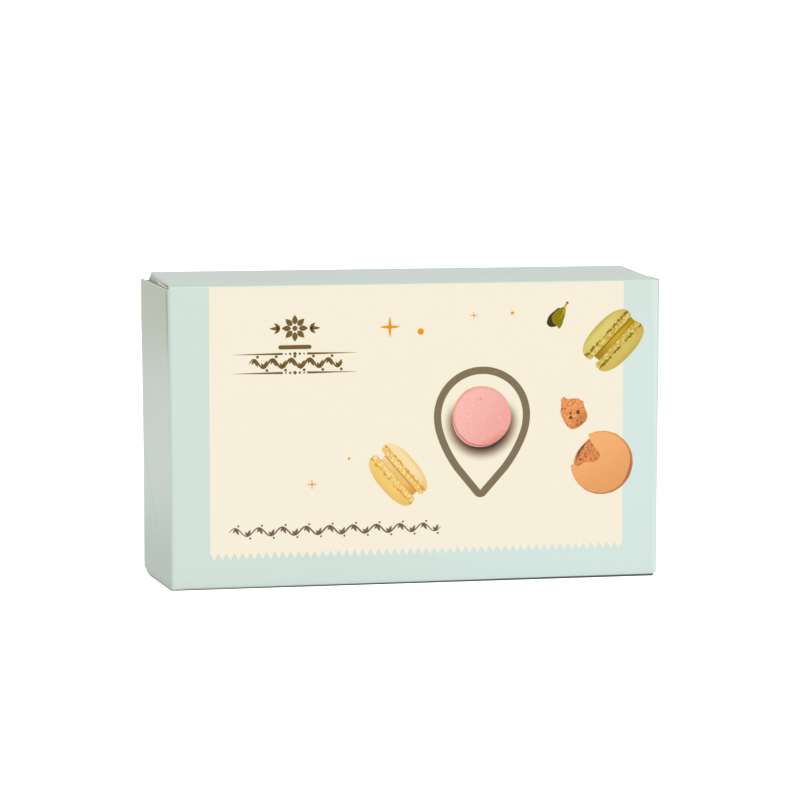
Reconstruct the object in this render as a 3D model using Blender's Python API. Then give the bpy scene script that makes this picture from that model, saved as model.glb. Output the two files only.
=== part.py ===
"""Folding carton for macarons, shut and standing on its long narrow side.

Metres, +Z up. X runs along the carton, the printed front panel faces -Y and the
carton rests on z = 0. The carton is one creased and glued blank round its
contents, so it is one solid. The left end panel stands a few degrees ajar.
"""
import math

import bmesh
import bpy
import numpy as np

# Driving dimensions of the shut carton
LENGTH = 0.200
HEIGHT = 0.122
DEPTH = 0.055
BOARD = 0.0005            # thickness of the paperboard
FOLD_RADIUS = 0.0011      # outside radius of a creased fold
BACK_RISE_LEFT = 0.0012   # the top panel climbs this much from front to back
BACK_RISE_RIGHT = 0.0007
FOLD_STEPS = 4

# End panels, hinged on the front panel and tucked in behind the back panel
PANEL_REACH = DEPTH - 2 * BOARD
PANEL_DROP = 0.0010       # top edge below the top of the front panel
PANEL_LIFT = 0.0004       # bottom edge above the table
LEFT_SWING_TOP = math.radians(4.1)
LEFT_SWING_FOOT = math.radians(3.5)
CORNER_CUT_LENGTH = 0.0080
CORNER_CUT_HEIGHT = 0.0014
TUCK_LENGTH = 0.016
TUCK_SLOPE = math.tan(math.radians(11.0))
LEVELS = 5                # rows of points between the foot and the top

# Dust flaps, hinged on the top and bottom panels, behind the left end panel
DUST_FLAP_LENGTH = 0.045
DUST_FLAP_LEAN_AT_FOLD = 0.0004
DUST_FLAP_LEAN_AT_END = 0.0022
DUST_FLAP_SIDE_GAP = 0.0015
ROOT_DEPTH = 0.0015       # how far a flap is sunk into the body
SKIN_OFFSET = 0.00002     # keeps two faces of one plane apart

MINT = (0.655, 0.775, 0.705, 1.0)
PRINTED_BOARD_ROUGHNESS = 0.42


def clear_scene():
    for item in list(bpy.data.objects):
        bpy.data.objects.remove(item, do_unlink=True)


def printed_board():
    """Mint printed board under a matt film."""
    material = bpy.data.materials.new("printed_board")
    material.use_nodes = True
    shader = material.node_tree.nodes["Principled BSDF"]
    shader.inputs["Base Color"].default_value = MINT
    shader.inputs["Roughness"].default_value = PRINTED_BOARD_ROUGHNESS
    shader.inputs["Metallic"].default_value = 0.0
    return material


def link_mesh(name, bm):
    bmesh.ops.recalc_face_normals(bm, faces=bm.faces)
    mesh = bpy.data.meshes.new(name)
    bm.to_mesh(mesh)
    bm.free()
    piece = bpy.data.objects.new(name, mesh)
    bpy.context.scene.collection.objects.link(piece)
    return piece


def is_raw_edge(edge):
    """The back panel's two upright ends are cut, and every other edge is a fold."""
    a, b = (vert.co for vert in edge.verts)
    upright = abs(a.x - b.x) < BOARD and abs(a.y - b.y) < BOARD
    return upright and a.y > DEPTH / 2


def body():
    """The four long panels and the shut ends, filled."""
    bm = bmesh.new()
    bmesh.ops.create_cube(bm, size=1.0)
    half = LENGTH / 2 - BOARD
    for vert in bm.verts:
        right, back, top = (value > 0 for value in vert.co)
        rise = (BACK_RISE_RIGHT if right else BACK_RISE_LEFT) if back else 0.0
        vert.co.x = half if right else -half
        vert.co.y = DEPTH if back else 0.0
        vert.co.z = HEIGHT + rise if top else 0.0
    folds = [edge for edge in bm.edges if not is_raw_edge(edge)]
    bmesh.ops.bevel(bm, geom=folds, offset=FOLD_RADIUS, offset_type="OFFSET",
                    segments=FOLD_STEPS, profile=0.5, affect="EDGES", clamp_overlap=True)
    return link_mesh("body", bm)


def dust_flap(name, hinge_z, direction):
    """A wedge on the left end: the flap leans out a little from its fold."""
    left = -(LENGTH / 2 - BOARD)
    inner = left + ROOT_DEPTH
    fold_z = hinge_z + direction * FOLD_RADIUS
    end_z = hinge_z + direction * DUST_FLAP_LENGTH
    front = DUST_FLAP_SIDE_GAP
    back = DEPTH - DUST_FLAP_SIDE_GAP
    corners = []
    for z, lean in ((fold_z, DUST_FLAP_LEAN_AT_FOLD), (end_z, DUST_FLAP_LEAN_AT_END)):
        corners.append((inner, front, z))
        corners.append((inner, back, z))
        corners.append((left - lean, back, z))
        corners.append((left - lean * front / DEPTH, front, z))
    bm = bmesh.new()
    verts = [bm.verts.new(corner) for corner in corners]
    bm.faces.new(verts[0:4])
    bm.faces.new(verts[4:8])
    for i in range(4):
        j = (i + 1) % 4
        bm.faces.new((verts[i], verts[j], verts[4 + j], verts[4 + i]))
    return link_mesh(name, bm)


def end_panel_path(side, swing):
    """Middle of the board seen from above, with each point's distance past the
    hinge and past the tuck fold: front panel, hinge, end panel, fold, tuck flap."""
    bend = FOLD_RADIUS - BOARD / 2
    points = []

    def put(x, y, along_panel, along_tuck):
        points.append((side * x, y, along_panel, along_tuck))

    start_y = BOARD / 2 + SKIN_OFFSET
    put(LENGTH / 2 - 4 * FOLD_RADIUS, start_y, 0.0, 0.0)
    hinge_x = LENGTH / 2 - FOLD_RADIUS
    hinge_y = start_y + bend
    turn = math.pi / 2 - swing
    for i in range(FOLD_STEPS + 1):
        angle = turn * i / FOLD_STEPS
        put(hinge_x + bend * math.sin(angle), hinge_y - bend * math.cos(angle), 0.0, 0.0)
    across, along = math.sin(swing), math.cos(swing)
    x, y = hinge_x + bend * along, hinge_y - bend * across
    straight = PANEL_REACH - 2 * FOLD_RADIUS
    cut_start = PANEL_REACH - CORNER_CUT_LENGTH - FOLD_RADIUS
    put(x + across * cut_start, y + along * cut_start, cut_start, 0.0)
    x, y = x + across * straight, y + along * straight
    fold_x, fold_y = x - bend * along, y + bend * across
    for i in range(FOLD_STEPS + 1):
        angle = (math.pi / 2 + swing) * i / FOLD_STEPS - swing
        put(fold_x + bend * math.cos(angle), fold_y + bend * math.sin(angle), straight, 0.0)
    put(fold_x - TUCK_LENGTH, fold_y + bend, straight, TUCK_LENGTH)
    return points


def offset_sides(points):
    """The two faces of the board, half a thickness each side of its middle."""
    flat = np.array([point[:2] for point in points])
    steps = np.diff(flat, axis=0)
    steps /= np.linalg.norm(steps, axis=1)[:, None]
    tangents = np.vstack([steps[:1], steps[:-1] + steps[1:], steps[-1:]])
    tangents /= np.linalg.norm(tangents, axis=1)[:, None]
    normals = np.column_stack([-tangents[:, 1], tangents[:, 0]]) * BOARD / 2
    return flat + normals, flat - normals


def end_panel(name, side, swing_foot, swing_top):
    """End panel with its hinge and tuck flap, one sheet of board."""
    bm = bmesh.new()
    rows = []
    for level in range(LEVELS):
        height = level / (LEVELS - 1)
        swing = swing_foot + (swing_top - swing_foot) * height
        points = end_panel_path(side, swing)
        sides = offset_sides(points)
        row = [[], []]
        for i, (_, _, along_panel, along_tuck) in enumerate(points):
            past_cut = along_panel - (PANEL_REACH - CORNER_CUT_LENGTH - FOLD_RADIUS)
            cut = CORNER_CUT_HEIGHT * max(0.0, past_cut) / CORNER_CUT_LENGTH
            foot = PANEL_LIFT + cut + TUCK_SLOPE * along_tuck
            top = HEIGHT - PANEL_DROP - TUCK_SLOPE * along_tuck
            z = foot + (top - foot) * height
            for face in range(2):
                x, y = sides[face][i]
                row[face].append(bm.verts.new((x, y, z)))
        rows.append(row)
    count = len(rows[0][0])
    for lower, upper in zip(rows, rows[1:]):
        for face in range(2):
            for i in range(count - 1):
                bm.faces.new((lower[face][i], lower[face][i + 1],
                              upper[face][i + 1], upper[face][i]))
        for i in (0, count - 1):
            bm.faces.new((lower[0][i], lower[1][i], upper[1][i], upper[0][i]))
    for row in (rows[0], rows[-1]):
        for i in range(count - 1):
            bm.faces.new((row[0][i], row[0][i + 1], row[1][i + 1], row[1][i]))
    return link_mesh(name, bm)


def join_solids(base, others):
    """One Boolean union of all the sheets with the body, applied."""
    group = bpy.data.collections.new("sheets")
    for other in others:
        group.objects.link(other)
    union = base.modifiers.new("union", "BOOLEAN")
    union.operation = "UNION"
    union.operand_type = "COLLECTION"
    union.collection = group
    union.solver = "EXACT"
    view_layer = bpy.context.view_layer
    view_layer.update()
    evaluated = base.evaluated_get(bpy.context.evaluated_depsgraph_get())
    mesh = bpy.data.meshes.new_from_object(evaluated)
    base.modifiers.clear()
    base.data = mesh
    for other in others:
        bpy.data.objects.remove(other, do_unlink=True)
    bpy.data.collections.remove(group)


def stand_on_origin(piece):
    """Origin at the middle of the bottom of the carton's own box."""
    corners = np.array([vert.co for vert in piece.data.vertices])
    low, high = corners.min(axis=0), corners.max(axis=0)
    shift = -(low + high) / 2
    shift[2] = -low[2]
    for vert in piece.data.vertices:
        vert.co.x += shift[0]
        vert.co.y += shift[1]
        vert.co.z += shift[2]


def main():
    clear_scene()
    carton = body()
    sheets = [
        dust_flap("top_flap", HEIGHT, -1),
        dust_flap("bottom_flap", 0.0, 1),
        end_panel("left_panel", -1, LEFT_SWING_FOOT, LEFT_SWING_TOP),
        end_panel("right_panel", 1, 0.0, 0.0),
    ]
    join_solids(carton, sheets)
    stand_on_origin(carton)
    carton.name = "carton"
    carton.data.name = "carton"
    carton.data.materials.clear()
    carton.data.materials.append(printed_board())


main()
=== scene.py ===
"""Looks of a shut macaron carton: folded mint board with a cream printed panel.

The carton stands on its long narrow side. The board is modelled as the folded
blank, with its real thickness, and every printed shape is a thin layer of ink on
the front panel. Printed places are given in millimetres from the carton's left
edge and from its foot.
"""

import functools
import math

import bmesh
import bpy
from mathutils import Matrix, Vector, noise


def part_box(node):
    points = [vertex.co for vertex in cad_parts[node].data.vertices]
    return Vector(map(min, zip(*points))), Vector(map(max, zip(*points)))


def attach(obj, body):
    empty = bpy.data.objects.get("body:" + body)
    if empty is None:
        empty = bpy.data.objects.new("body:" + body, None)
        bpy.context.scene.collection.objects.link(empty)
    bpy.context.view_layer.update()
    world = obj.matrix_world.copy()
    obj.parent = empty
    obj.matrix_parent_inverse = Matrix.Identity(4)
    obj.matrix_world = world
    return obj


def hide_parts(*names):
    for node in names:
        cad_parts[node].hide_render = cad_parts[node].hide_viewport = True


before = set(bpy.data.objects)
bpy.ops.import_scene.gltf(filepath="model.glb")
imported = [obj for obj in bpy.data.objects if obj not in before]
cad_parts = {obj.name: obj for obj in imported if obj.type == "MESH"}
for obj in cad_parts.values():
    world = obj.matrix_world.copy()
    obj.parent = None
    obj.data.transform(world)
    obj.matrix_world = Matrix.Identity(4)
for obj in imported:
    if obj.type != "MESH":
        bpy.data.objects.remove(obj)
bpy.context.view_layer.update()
low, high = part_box("carton")

MM = 0.001
QUARTER = math.pi / 2
NEAR = 0.05 * MM

# The folded board
LENGTH = 200 * MM
TOP = 122 * MM
BOARD = 0.5 * MM
LEFT = high.x - LENGTH
RIGHT = high.x
FRONT = low.y
BACK = high.y
FOLD = 1.1 * MM             # outside radius of the long folds
HINGE = 1.7 * MM            # softer fold of the end panel that stands ajar
SHUT_HINGE = 1.4 * MM
FOLD_STEPS = 6
LEFT_LIFT = 0.5 * MM        # the whole top stands this much higher at the left end
BACK_RISE_LEFT = 1.15 * MM  # and its back edge this much above its front edge
BACK_RISE_RIGHT = 0.95 * MM
BACK_GAP_LEFT = 0.6 * MM    # the back panel stops short of each end by this
BACK_GAP_RIGHT = 0.4 * MM
GLUE_GAP = 0.1 * MM         # between the back panel and the glue flap inside it
GLUE_FLAP = 14 * MM

# The dust flaps
DUST_FLAP = 45 * MM
FLAP_INSET = 0.7 * MM       # a dust flap's outer face behind the end panel's
FLAP_BULGE = Vector((1.4, 3.3)) * MM   # a left one bows out this far, this far down
FLAP_SPREAD = 0.45 * MM     # the upper left one's back end past the back panel's
TAB = (9 * MM, 31 * MM, 119.9 * MM, 120.9 * MM)   # front, back, foot and top of the lip
TAB_PLACE = -0.4 * MM       # its outer face, from the carton's left edge
TAB_LEAN = 0.9 * MM

# The end panels and their tuck flaps
SWING = math.radians(3.8)
TUCK_DEPTH = 1.15 * MM      # the ajar tuck flap's outer face inside the back panel's
SHUT_TUCK_DEPTH = 0.6 * MM
TUCK_LENGTH = 16 * MM
TUCK_SLOPE = math.tan(math.radians(11))
TUCK_SLOPE_AJAR = math.tan(math.radians(14))   # the ajar panel's, along its top
END_FOOT = 0.3 * MM         # the ajar panel's lower edge above the table
CORNER_CUT = Vector((44.5, 2.6)) * MM
DIP = 9.5 * MM              # the ajar panel's top edge sags between here and the cut
DIP_RISE = Vector((-0.4, -0.2)) * MM
END_RISE = 0.2 * MM         # and rises to its far end
WORN = 0.3 * MM             # pale worn edge along the ajar panel's top
GROOVE_START = 0.6 * MM     # the pressed crease beside the ajar panel's hinge
GROOVE_END = 1.6 * MM
GROOVE_DEPTH = 0.35 * MM
AJAR_FLARE = 0.8 * MM       # how far the left front fold leans out at the top
TWIST = 0.65 * MM           # the ajar panel's back edge stands out this much near its top
FLARE = 0.8 * MM            # how far the right front fold leans out
RIGHT_END_TOP = Vector((0.85, 0.4)) * MM   # above the start of the top fold, front and back
RIGHT_END_FOOT = 0.3 * MM   # and this much above the start of the lower fold
CORNER_SHARE = 0.75         # of a hinge's radius: the long fold runs on this far round it
CORNER_DROP = -0.1 * MM     # each step of the corner at the top left
CORNER_RISE = 0.8 * MM      # and at the lower right
SMOOTH_ANGLE = math.radians(40)   # sharper folds and edges than this are shaded sharp

# Heights where an upright fold bends; the ajar panel's lean, press and twist at each, as
# shares of AJAR_FLARE, GROOVE_DEPTH and TWIST, and the right fold's, as shares of FLARE
LOW_BEND, HIGH_BEND, TOP_BEND = 45 * MM, 85 * MM, 106 * MM
BEND_REACH = 8 * MM         # a corner of the ajar panel's back edge belongs to a bend this near
TOP_REACH = 3 * MM          # and one of its top edge lies this near the top
DIP_REACH = 1.5 * MM
GROOVE_REACH = 0.12 * MM
AJAR_BENDS = ((TOP - FOLD, 1.0, 1.0, 0.9), (TOP_BEND, 0.8, 0.8, 1.0), (HIGH_BEND, 0.45, 0.3, 0.5),
              (LOW_BEND, 0.1, 0.15, 0.0), (FOLD, 0.0, 0.1, 0.0))
RIGHT_BENDS = ((TOP - FOLD, 1.15), (HIGH_BEND, 1.2), (LOW_BEND, 0.8), (FOLD, 0.5))

# The board's finishes, by material slot: the print outside is the first
INSIDE_SLOT, EDGE_SLOT = 1, 2

# The print
INK = 0.02 * MM             # each layer of ink stands this much above the last
SUNK = 0.05 * MM
CREAM_LEFT, CREAM_RIGHT = 15.7, 185.8
CREAM_FOOT = 14.7
CREAM_WRAP = math.radians(17)   # the cream print runs on over the top fold
TEETH = 52
TOOTH = 2.9
ON_CREAM = 2                # layer of ink, counted from the board
ON_STEM = 2.3

# How bright a print of full white comes out under the studio light, and how much of
# that is a pale shine over every print
EXPOSURE = 1.05
SHINE = 0.012
FILM_RELIEF = 0.012         # millimetres, of the matt film over the print
FIBRE_RELIEF = 0.03         # and of bare board

# Without a seed the wavy outlines would start from the clock and differ at each run
OUTLINE_SEED = 7
noise.seed_set(OUTLINE_SEED)


def tone(red, green, blue):
    """Linear colour of a print that the camera sees as this 8-bit colour."""
    values = []
    for part in (red, green, blue):
        part = part / 255
        linear = part / 12.92 if part <= 0.04045 else ((part + 0.055) / 1.055) ** 2.4
        values.append(max(linear - SHINE, 0.0) / EXPOSURE)
    return (*values, 1.0)


class Wire:
    """A value that changes over a surface; arithmetic on it adds Math nodes."""

    def __init__(self, nodes, socket):
        self.nodes = nodes
        self.socket = socket

    def __add__(self, other):
        return self.nodes.math("ADD", self, other)

    def __sub__(self, other):
        return self.nodes.math("SUBTRACT", self, other)

    def __rsub__(self, other):
        return self.nodes.math("SUBTRACT", other, self)

    def __mul__(self, other):
        return self.nodes.math("MULTIPLY", self, other)

    def __truediv__(self, other):
        return self.nodes.math("DIVIDE", self, other)

    def __abs__(self):
        return self.nodes.math("ABSOLUTE", self)

    __radd__ = __add__
    __rmul__ = __mul__


class Nodes:
    """The nodes of one material or of the world."""

    def __init__(self, tree):
        self.tree = tree

    def node(self, kind, settings=None, sockets=None, output=0):
        made = self.tree.nodes.new(kind)
        for key, value in (settings or {}).items():
            setattr(made, key, value)
        for key, value in (sockets or {}).items():
            self.feed(made.inputs[key], value)
        return Wire(self, made.outputs[output])

    def feed(self, socket, value):
        if isinstance(value, Wire):
            self.tree.links.new(value.socket, socket)
        else:
            socket.default_value = value

    def math(self, operation, *values):
        return self.node("ShaderNodeMath", {"operation": operation}, dict(enumerate(values)))

    def most(self, first, second):
        return self.math("MAXIMUM", first, second)

    def length(self, first, second):
        return self.math("SQRT", first * first + second * second)

    def rise(self, value, start, end):
        """0 before start, 1 after end, eased between them."""
        return self.node("ShaderNodeMapRange", {"interpolation_type": "SMOOTHSTEP"}, {
            "Value": value, "From Min": start, "From Max": end})

    def fall(self, value, start, end):
        """1 before start, 0 after end."""
        return 1 - self.rise(value, start, end)

    def between(self, value, start, full, end, gone):
        """1 from full to end, eased to 0 at start and at gone."""
        return self.rise(value, start, full) * self.fall(value, end, gone)

    def mix(self, share, first, second, blend="MIX"):
        return self.node("ShaderNodeMix", {"data_type": "RGBA", "blend_type": blend},
                         {0: share, 6: first, 7: second}, output=2)

    def ray(self, kind):
        """1 for light of one kind, such as what the camera sees."""
        return self.node("ShaderNodeLightPath", output=f"Is {kind} Ray")


class Finish(Nodes):
    """One material: its shader, and a base colour that is built up in layers."""

    def __init__(self, name, roughness=0.5, specular=0.1):
        self.material = bpy.data.materials.new(name)
        self.material.use_nodes = True
        super().__init__(self.material.node_tree)
        self.give(Roughness=roughness, Specular_IOR_Level=specular)
        self.base = None

    def give(self, **sockets):
        """Feed the shader's own sockets; an underscore stands for a space."""
        shader = self.tree.nodes["Principled BSDF"]
        for key, value in sockets.items():
            self.feed(shader.inputs[key.replace("_", " ")], value)

    @functools.cached_property
    def place(self):
        return self.node("ShaderNodeTexCoord", output="Object")

    def parts(self):
        """The place along each axis, in metres."""
        first = self.node("ShaderNodeSeparateXYZ", None, {0: self.place})
        return [Wire(self, socket) for socket in first.socket.node.outputs]

    @functools.cached_property
    def axes(self):
        """The place on the carton, in millimetres from its left edge, front and foot."""
        x, y, z = self.parts()
        return (x - LEFT) / MM, (y - FRONT) / MM, z / MM

    def from_centre(self, centre):
        x, _, z = self.axes
        return x - centre[0], z - centre[1]

    def along(self, centre, degrees):
        """Millimetres from a centre on the front panel, along an axis turned this far."""
        angle = math.radians(degrees)
        x, z = self.from_centre(centre)
        return x * math.cos(angle) + z * math.sin(angle)

    def distance(self, centre):
        """Millimetres from a centre on the front panel."""
        return self.length(*self.from_centre(centre))

    def spot(self, centre, radius, ragged=0.0):
        """1 inside a round spot on the front panel, fading to 0 at its edge."""
        return self.fall(self.distance(centre) + 1.2 * radius * ragged, 0.55 * radius, radius)

    def noise(self, size, detail=3.0, roughness=0.6, shift=0.0):
        """Noise from 0 to 1 with features of about this size in millimetres."""
        place = self.place
        if shift:
            place = self.node("ShaderNodeVectorMath", {"operation": "ADD"},
                              {0: place, 1: (shift, shift, shift)})
        return self.node("ShaderNodeTexNoise", None, {
            "Vector": place, "Scale": 1 / (size * MM), "Detail": detail,
            "Roughness": roughness})

    def specks(self, size, start, end, **grain):
        """1 where the noise is above end, 0 where it is below start."""
        return self.rise(self.noise(size, **grain), start, end)

    def begin(self, share, first, second):
        """The base colour starts as a run from one tone to another."""
        self.base = self.mix(share, tone(*first), tone(*second))

    def tint(self, share, colour):
        """Lay a tone over the base colour, by a share that may change over the surface."""
        self.base = self.mix(share, self.base, tone(*colour))

    def relief(self, height, depth, strength):
        """Raise the surface by a height from 0 to 1, at most this many millimetres."""
        self.give(Normal=self.node("ShaderNodeBump", None, {
            "Height": height, "Distance": depth * MM, "Strength": strength}))

    def done(self, film=True):
        """The base colour, under a matt film with faint fibre and soft uneven gloss."""
        if film:
            fibre, cloud = self.noise(0.35), self.noise(9.0, 2.0, 0.5)
            self.relief(fibre + 2.0 * cloud, FILM_RELIEF, 0.35)
        self.give(Base_Color=self.base)
        return self


def take_up(piece):
    """Select this piece alone and make it the active one."""
    bpy.ops.object.select_all(action="DESELECT")
    piece.select_set(True)
    bpy.context.view_layer.objects.active = piece


def open_up(piece):
    take_up(piece)
    bpy.ops.object.mode_set(mode="EDIT")


def close_up():
    bpy.ops.object.mode_set(mode="OBJECT")


def set_place():
    """Put the new piece's place, turn and scale into its mesh."""
    bpy.ops.object.transform_apply(location=True, rotation=True, scale=True)
    return bpy.context.object


def sheet(place, size, rotation):
    """A flat sheet of this size."""
    bpy.ops.object.select_all(action="DESELECT")
    bpy.ops.mesh.primitive_plane_add(size=1, location=place, rotation=rotation)
    bpy.context.object.scale = (*size, 1)
    return set_place()


def edit_mesh():
    return bmesh.from_edit_mesh(bpy.context.edit_object.data)


def choose(kind, wanted):
    """In edit mode, select the vertices, edges or faces that pass a test."""
    choose_all(False)
    bpy.ops.mesh.select_mode(type=kind)
    bm = edit_mesh()
    bm.verts.index_update()
    elements = {"VERT": bm.verts, "EDGE": bm.edges, "FACE": bm.faces}[kind]
    found = [element for element in elements if wanted(element)]
    for element in found:
        element.select_set(True)
    bm.select_flush_mode()
    bmesh.update_edit_mesh(bpy.context.edit_object.data)
    return len(found)


def choose_all(wanted=True):
    bpy.ops.mesh.select_all(action="SELECT" if wanted else "DESELECT")


def choose_edge(test, first=0):
    """Select the edges whose two ends both pass a test, of those made from this vertex on."""
    choose("EDGE", lambda edge: all(vert.index >= first and test(vert.co)
                                    for vert in edge.verts))


def vertex_count():
    """In edit mode; what is made later has vertices from this number on."""
    return len(edit_mesh().verts)


def middle(element):
    return sum((vert.co for vert in element.verts), Vector()) / len(element.verts)


def fold(centre, axis, angle, steps=FOLD_STEPS):
    """Turn the selected edge round a fold's axis, leaving a rounded strip of board.

    The spin tool counts its angle clockwise along the axis.
    """
    bpy.ops.mesh.spin(steps=steps, angle=-angle, center=centre, axis=axis)


def run_on(x=0.0, y=0.0, z=0.0):
    bpy.ops.mesh.extrude_region_move(TRANSFORM_OT_translate={"value": (x, y, z)})


def nudge(test, x=0.0, z=0.0, first=0):
    """Move the vertices whose place passes a test, of those made from this number on."""
    choose("VERT", lambda vert: vert.index >= first and test(vert.co))
    bpy.ops.transform.translate(value=(x, 0.0, z))


def cut_across(point, direction, test):
    """Cut the faces that pass a test by a plane, to shape the board on each side of it."""
    choose("FACE", test)
    bpy.ops.mesh.bisect(plane_co=point, plane_no=direction)


def turn_outwards():
    choose_all()
    bpy.ops.mesh.normals_make_consistent(inside=False)


def apply_modifier(piece, kind, **settings):
    take_up(piece)
    modifier = piece.modifiers.new(kind.lower(), kind)
    for key, value in settings.items():
        setattr(modifier, key, value)
    bpy.ops.object.modifier_apply(modifier=modifier.name)


def dress(piece, *finishes):
    piece.data.materials.clear()
    for finish in finishes:
        piece.data.materials.append(finish.material)


def belong(piece):
    """The piece is part of the carton: it is attached to the carton's root body."""
    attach(piece, "root")


def join_up(pieces):
    take_up(pieces[0])
    for piece in pieces:
        piece.select_set(True)
    bpy.ops.object.join()
    return pieces[0]


def at(value, target, reach=NEAR):
    return abs(value - target) < reach


def hinge_at(side):
    """An end's fold: its radius, and where the flat front panel ends beside it."""
    return (HINGE, LEFT + HINGE) if side < 0 else (SHUT_HINGE, RIGHT - SHUT_HINGE)


def top_at(side):
    """The height up to which the front panel is flat at one end."""
    return TOP - FOLD + (LEFT_LIFT if side < 0 else 0.0)


def front_panel():
    width = LENGTH - HINGE - SHUT_HINGE
    height = TOP - 2 * FOLD
    place = (LEFT + HINGE + width / 2, FRONT, FOLD + height / 2)
    return sheet(place, (width, height), (QUARTER, 0, 0))


def wrap_top_and_back():
    """From the front panel's top edge: top panel, back panel, cut just above the foot."""
    choose_edge(lambda co: at(co.z, TOP - FOLD))
    fold((0, FRONT + FOLD, TOP - FOLD), (1, 0, 0), -QUARTER)
    run_on(y=BACK - FRONT - 2 * FOLD)
    fold((0, BACK - FOLD, TOP - FOLD), (1, 0, 0), -QUARTER)
    run_on(z=-(TOP - FOLD - BOARD))


def wrap_bottom():
    """From the front panel's foot: bottom panel and the glue flap inside the back panel."""
    choose_edge(lambda co: at(co.z, FOLD) and at(co.y, FRONT))
    fold((0, FRONT + FOLD, FOLD), (1, 0, 0), QUARTER)
    inner = BACK - BOARD - GLUE_GAP
    run_on(y=inner - FOLD - FRONT - FOLD)
    fold((0, inner - FOLD, FOLD), (1, 0, 0), QUARTER)
    run_on(z=GLUE_FLAP)


def dust_flap(side, top):
    """A flap folded down from the top panel, or up from the bottom one, inside an end."""
    hinge, edge_x = hinge_at(side)
    plane_z = TOP if top else 0.0
    radius = hinge - FLAP_INSET
    way = -1 if top else 1
    choose_edge(lambda co: at(co.x, edge_x) and at(co.z, plane_z)
                and FRONT + FOLD - NEAR < co.y < BACK - FOLD / 2)
    first = vertex_count()
    fold((edge_x, 0, plane_z + way * radius), (0, 1, 0), -side * way * QUARTER)
    run_on(z=way * FLAP_BULGE.y)
    end_z = plane_z + way * (radius + FLAP_BULGE.y)
    if side < 0:
        nudge(lambda co: at(co.z, end_z) and co.y > 0, x=side * FLAP_BULGE.x, first=first)
    choose_edge(lambda co: at(co.z, end_z), first)
    run_on(z=way * DUST_FLAP)


def end_panel(side, swing):
    """From the front panel's upright edge: end panel, then its tuck flap inside the back."""
    hinge, edge_x = hinge_at(side)
    top_z = top_at(side)
    tuck_y = BACK - (TUCK_DEPTH if side < 0 else SHUT_TUCK_DEPTH)
    first = vertex_count()
    choose_edge(lambda co: at(co.x, edge_x) and at(co.y, FRONT)
                and FOLD - NEAR < co.z < top_z + NEAR)
    fold((edge_x, FRONT + hinge, 0), (0, 0, 1), side * (QUARTER - swing))
    out, back = side * math.sin(swing), math.cos(swing)
    start = Vector((edge_x + side * hinge * back, FRONT + hinge - side * hinge * out, 0))
    length = (tuck_y - FOLD * (1 + side * out) - start.y) / back
    end = start + length * Vector((out, back, 0))
    run_on(*(end - start))
    centre = end + FOLD * Vector((-side * back, side * out, 0))
    fold(centre, (0, 0, 1), side * (QUARTER + swing))
    run_on(x=-side * TUCK_LENGTH)
    slope_top = TUCK_SLOPE_AJAR if side < 0 else TUCK_SLOPE
    for z, slope in ((top_z, -slope_top), (FOLD, TUCK_SLOPE)):
        nudge(lambda co: at(co.x, centre.x - side * TUCK_LENGTH) and at(co.y, tuck_y)
              and at(co.z, z), z=slope * TUCK_LENGTH)
    return first, start, end


def shape_ajar_panel(first, start, end):
    """The ajar panel's pressed crease, its twist, its lower edge and its cut corner."""
    along = (end - start).normalized()
    length = (end - start).length

    def distance(co):
        return (Vector((co.x, co.y, 0)) - start).dot(along)

    def on_panel(face):
        return all(vert.index >= first and -NEAR < distance(vert.co) < length + NEAR
                   and vert.co.x < LEFT + NEAR for vert in face.verts)

    def part_of_panel(face):
        return sum(vert.index >= first for vert in face.verts) > 1

    def along_top(element):
        return all(vert.index >= first and vert.co.z > TOP - TOP_REACH
                   and vert.co.x < LEFT - BOARD for vert in element.verts)

    def shift(test, x=0.0, z=0.0):
        nudge(test, x, z, first)

    shift(lambda co: co.z > TOP / 2, z=-LEFT_LIFT)
    for reach in (GROOVE_START, GROOVE_END, DIP, CORNER_CUT.x):
        cut_across(start + along * reach, along, on_panel)
    for reach, foot in ((0.0, 2 * END_FOOT), (GROOVE_START, END_FOOT), (GROOVE_END, END_FOOT),
                        (DIP, END_FOOT), (CORNER_CUT.x, END_FOOT), (length, CORNER_CUT.y)):
        shift(lambda co: at(co.z, FOLD) and at(distance(co), reach), z=foot - FOLD)
    shift(lambda co: at(co.z, FOLD) and co.y > end.y + NEAR and co.x < LEFT + NEAR,
          z=CORNER_CUT.y - FOLD)
    for z in (LOW_BEND, HIGH_BEND, TOP_BEND):
        cut_across((0, 0, z), (0, 0, 1), part_of_panel)
    for z, lean, press, twist in AJAR_BENDS:
        shift(lambda co: at(co.z, z) and distance(co) < GROOVE_END + NEAR
              and co.x < LEFT + HINGE - NEAR, x=-lean * AJAR_FLARE)
        shift(lambda co: at(co.z, z) and at(distance(co), GROOVE_START, GROOVE_REACH),
              x=press * GROOVE_DEPTH)
        shift(lambda co: co.y > end.y - NEAR and at(co.z, z, BEND_REACH), x=-twist * TWIST)
    for reach, rise in ((DIP, DIP_RISE.x), (CORNER_CUT.x, DIP_RISE.y), (length, END_RISE)):
        shift(lambda co: at(co.z, TOP - FOLD) and at(distance(co), reach, DIP_REACH), z=rise)
    choose("EDGE", lambda edge: edge.is_boundary and along_top(edge))
    bpy.ops.transform.translate(value=(0.0, 0.0, -WORN))
    run_on(z=WORN)
    choose("FACE", along_top)
    bpy.context.object.active_material_index = EDGE_SLOT
    bpy.ops.object.material_slot_assign()


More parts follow.
